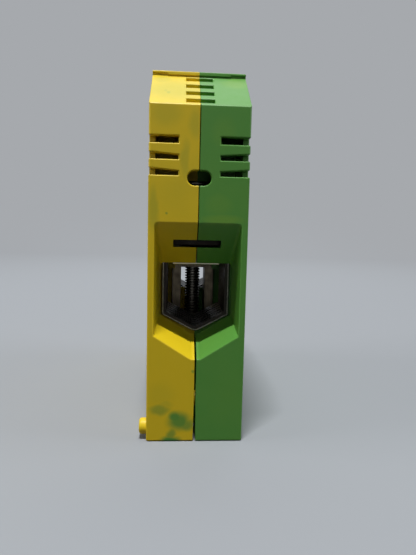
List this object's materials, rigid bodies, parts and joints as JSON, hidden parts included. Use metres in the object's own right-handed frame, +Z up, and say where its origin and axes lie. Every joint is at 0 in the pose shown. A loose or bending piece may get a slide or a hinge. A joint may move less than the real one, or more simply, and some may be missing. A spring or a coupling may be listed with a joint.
{
  "type": "earth terminal block",
  "caption": "Green and yellow earth terminal block that clamps a large conductor at each end in a screw-lifted cage and earths it to a mounting rail through a metal foot.",
  "frame": {"origin": "on the base, under the foot screw's axis, on the seam between the two shells", "axes": "+Z up from the rail, +Y from the front conductor entry to the rear one, +X from the yellow shell to the green one"},
  "size_m": [0.027, 0.084, 0.097],
  "materials": {
    "yellow_plastic": "moulded polyamide, satin, faintly marbled with green",
    "green_plastic": "moulded polyamide, satin, faintly marbled with yellow",
    "tinned_copper": "tin plated",
    "sleeve_steel": "dark passivated zinc plate",
    "foot_steel": "dull zinc plate",
    "screw_steel": "dark zinc plate"
  },
  "bodies": {
    "housing": {"yellow_shell": "yellow_plastic", "green_shell": "green_plastic", "current_bar": "tinned_copper", "earth_foot": "foot_steel", "foot_screw_washer": "screw_steel", "foot_spring_washer": "screw_steel"},
    "front_sleeve": {"front_clamp_sleeve": "sleeve_steel"},
    "rear_sleeve": {"rear_clamp_sleeve": "sleeve_steel"},
    "front_screw": {"front_clamp_screw": "screw_steel"},
    "rear_screw": {"rear_clamp_screw": "screw_steel"},
    "foot_screw": {"foot_screw": "screw_steel"},
    "rail_yoke": {"rail_yoke": "foot_steel", "foot_nut": "screw_steel"}
  },
  "joints": [
    {"name": "front_screw_turn", "type": "hinge", "parent": "housing", "child": "front_screw", "pos_m": [0, -0.0225, 0.069], "axis": [0, 0, -1], "range_deg": [0, 2880]},
    {"name": "front_sleeve_lift", "type": "slide", "parent": "housing", "child": "front_sleeve", "axis": [0, 0, 1], "range_m": [0, 0.01]},
    {"name": "rear_screw_turn", "type": "hinge", "parent": "housing", "child": "rear_screw", "pos_m": [0, 0.0225, 0.069], "axis": [0, 0, -1], "range_deg": [-1152, 1728]},
    {"name": "rear_sleeve_lift", "type": "slide", "parent": "housing", "child": "rear_sleeve", "axis": [0, 0, 1], "range_m": [-0.004, 0.006]},
    {"name": "foot_screw_turn", "type": "hinge", "parent": "housing", "child": "foot_screw", "pos_m": [0, 0, 0.0522], "axis": [0, 0, -1], "range_deg": [0, 810]},
    {"name": "rail_yoke_lift", "type": "slide", "parent": "housing", "child": "rail_yoke", "axis": [0, 0, 1], "range_m": [0, 0.0018]}
  ],
  "couplings": [
    {"joint": "front_screw_turn", "follows": "front_sleeve_lift", "rad_per_m": 5026.5},
    {"joint": "rear_screw_turn", "follows": "rear_sleeve_lift", "rad_per_m": 5026.5},
    {"joint": "foot_screw_turn", "follows": "rail_yoke_lift", "rad_per_m": 7853.9}
  ]
}
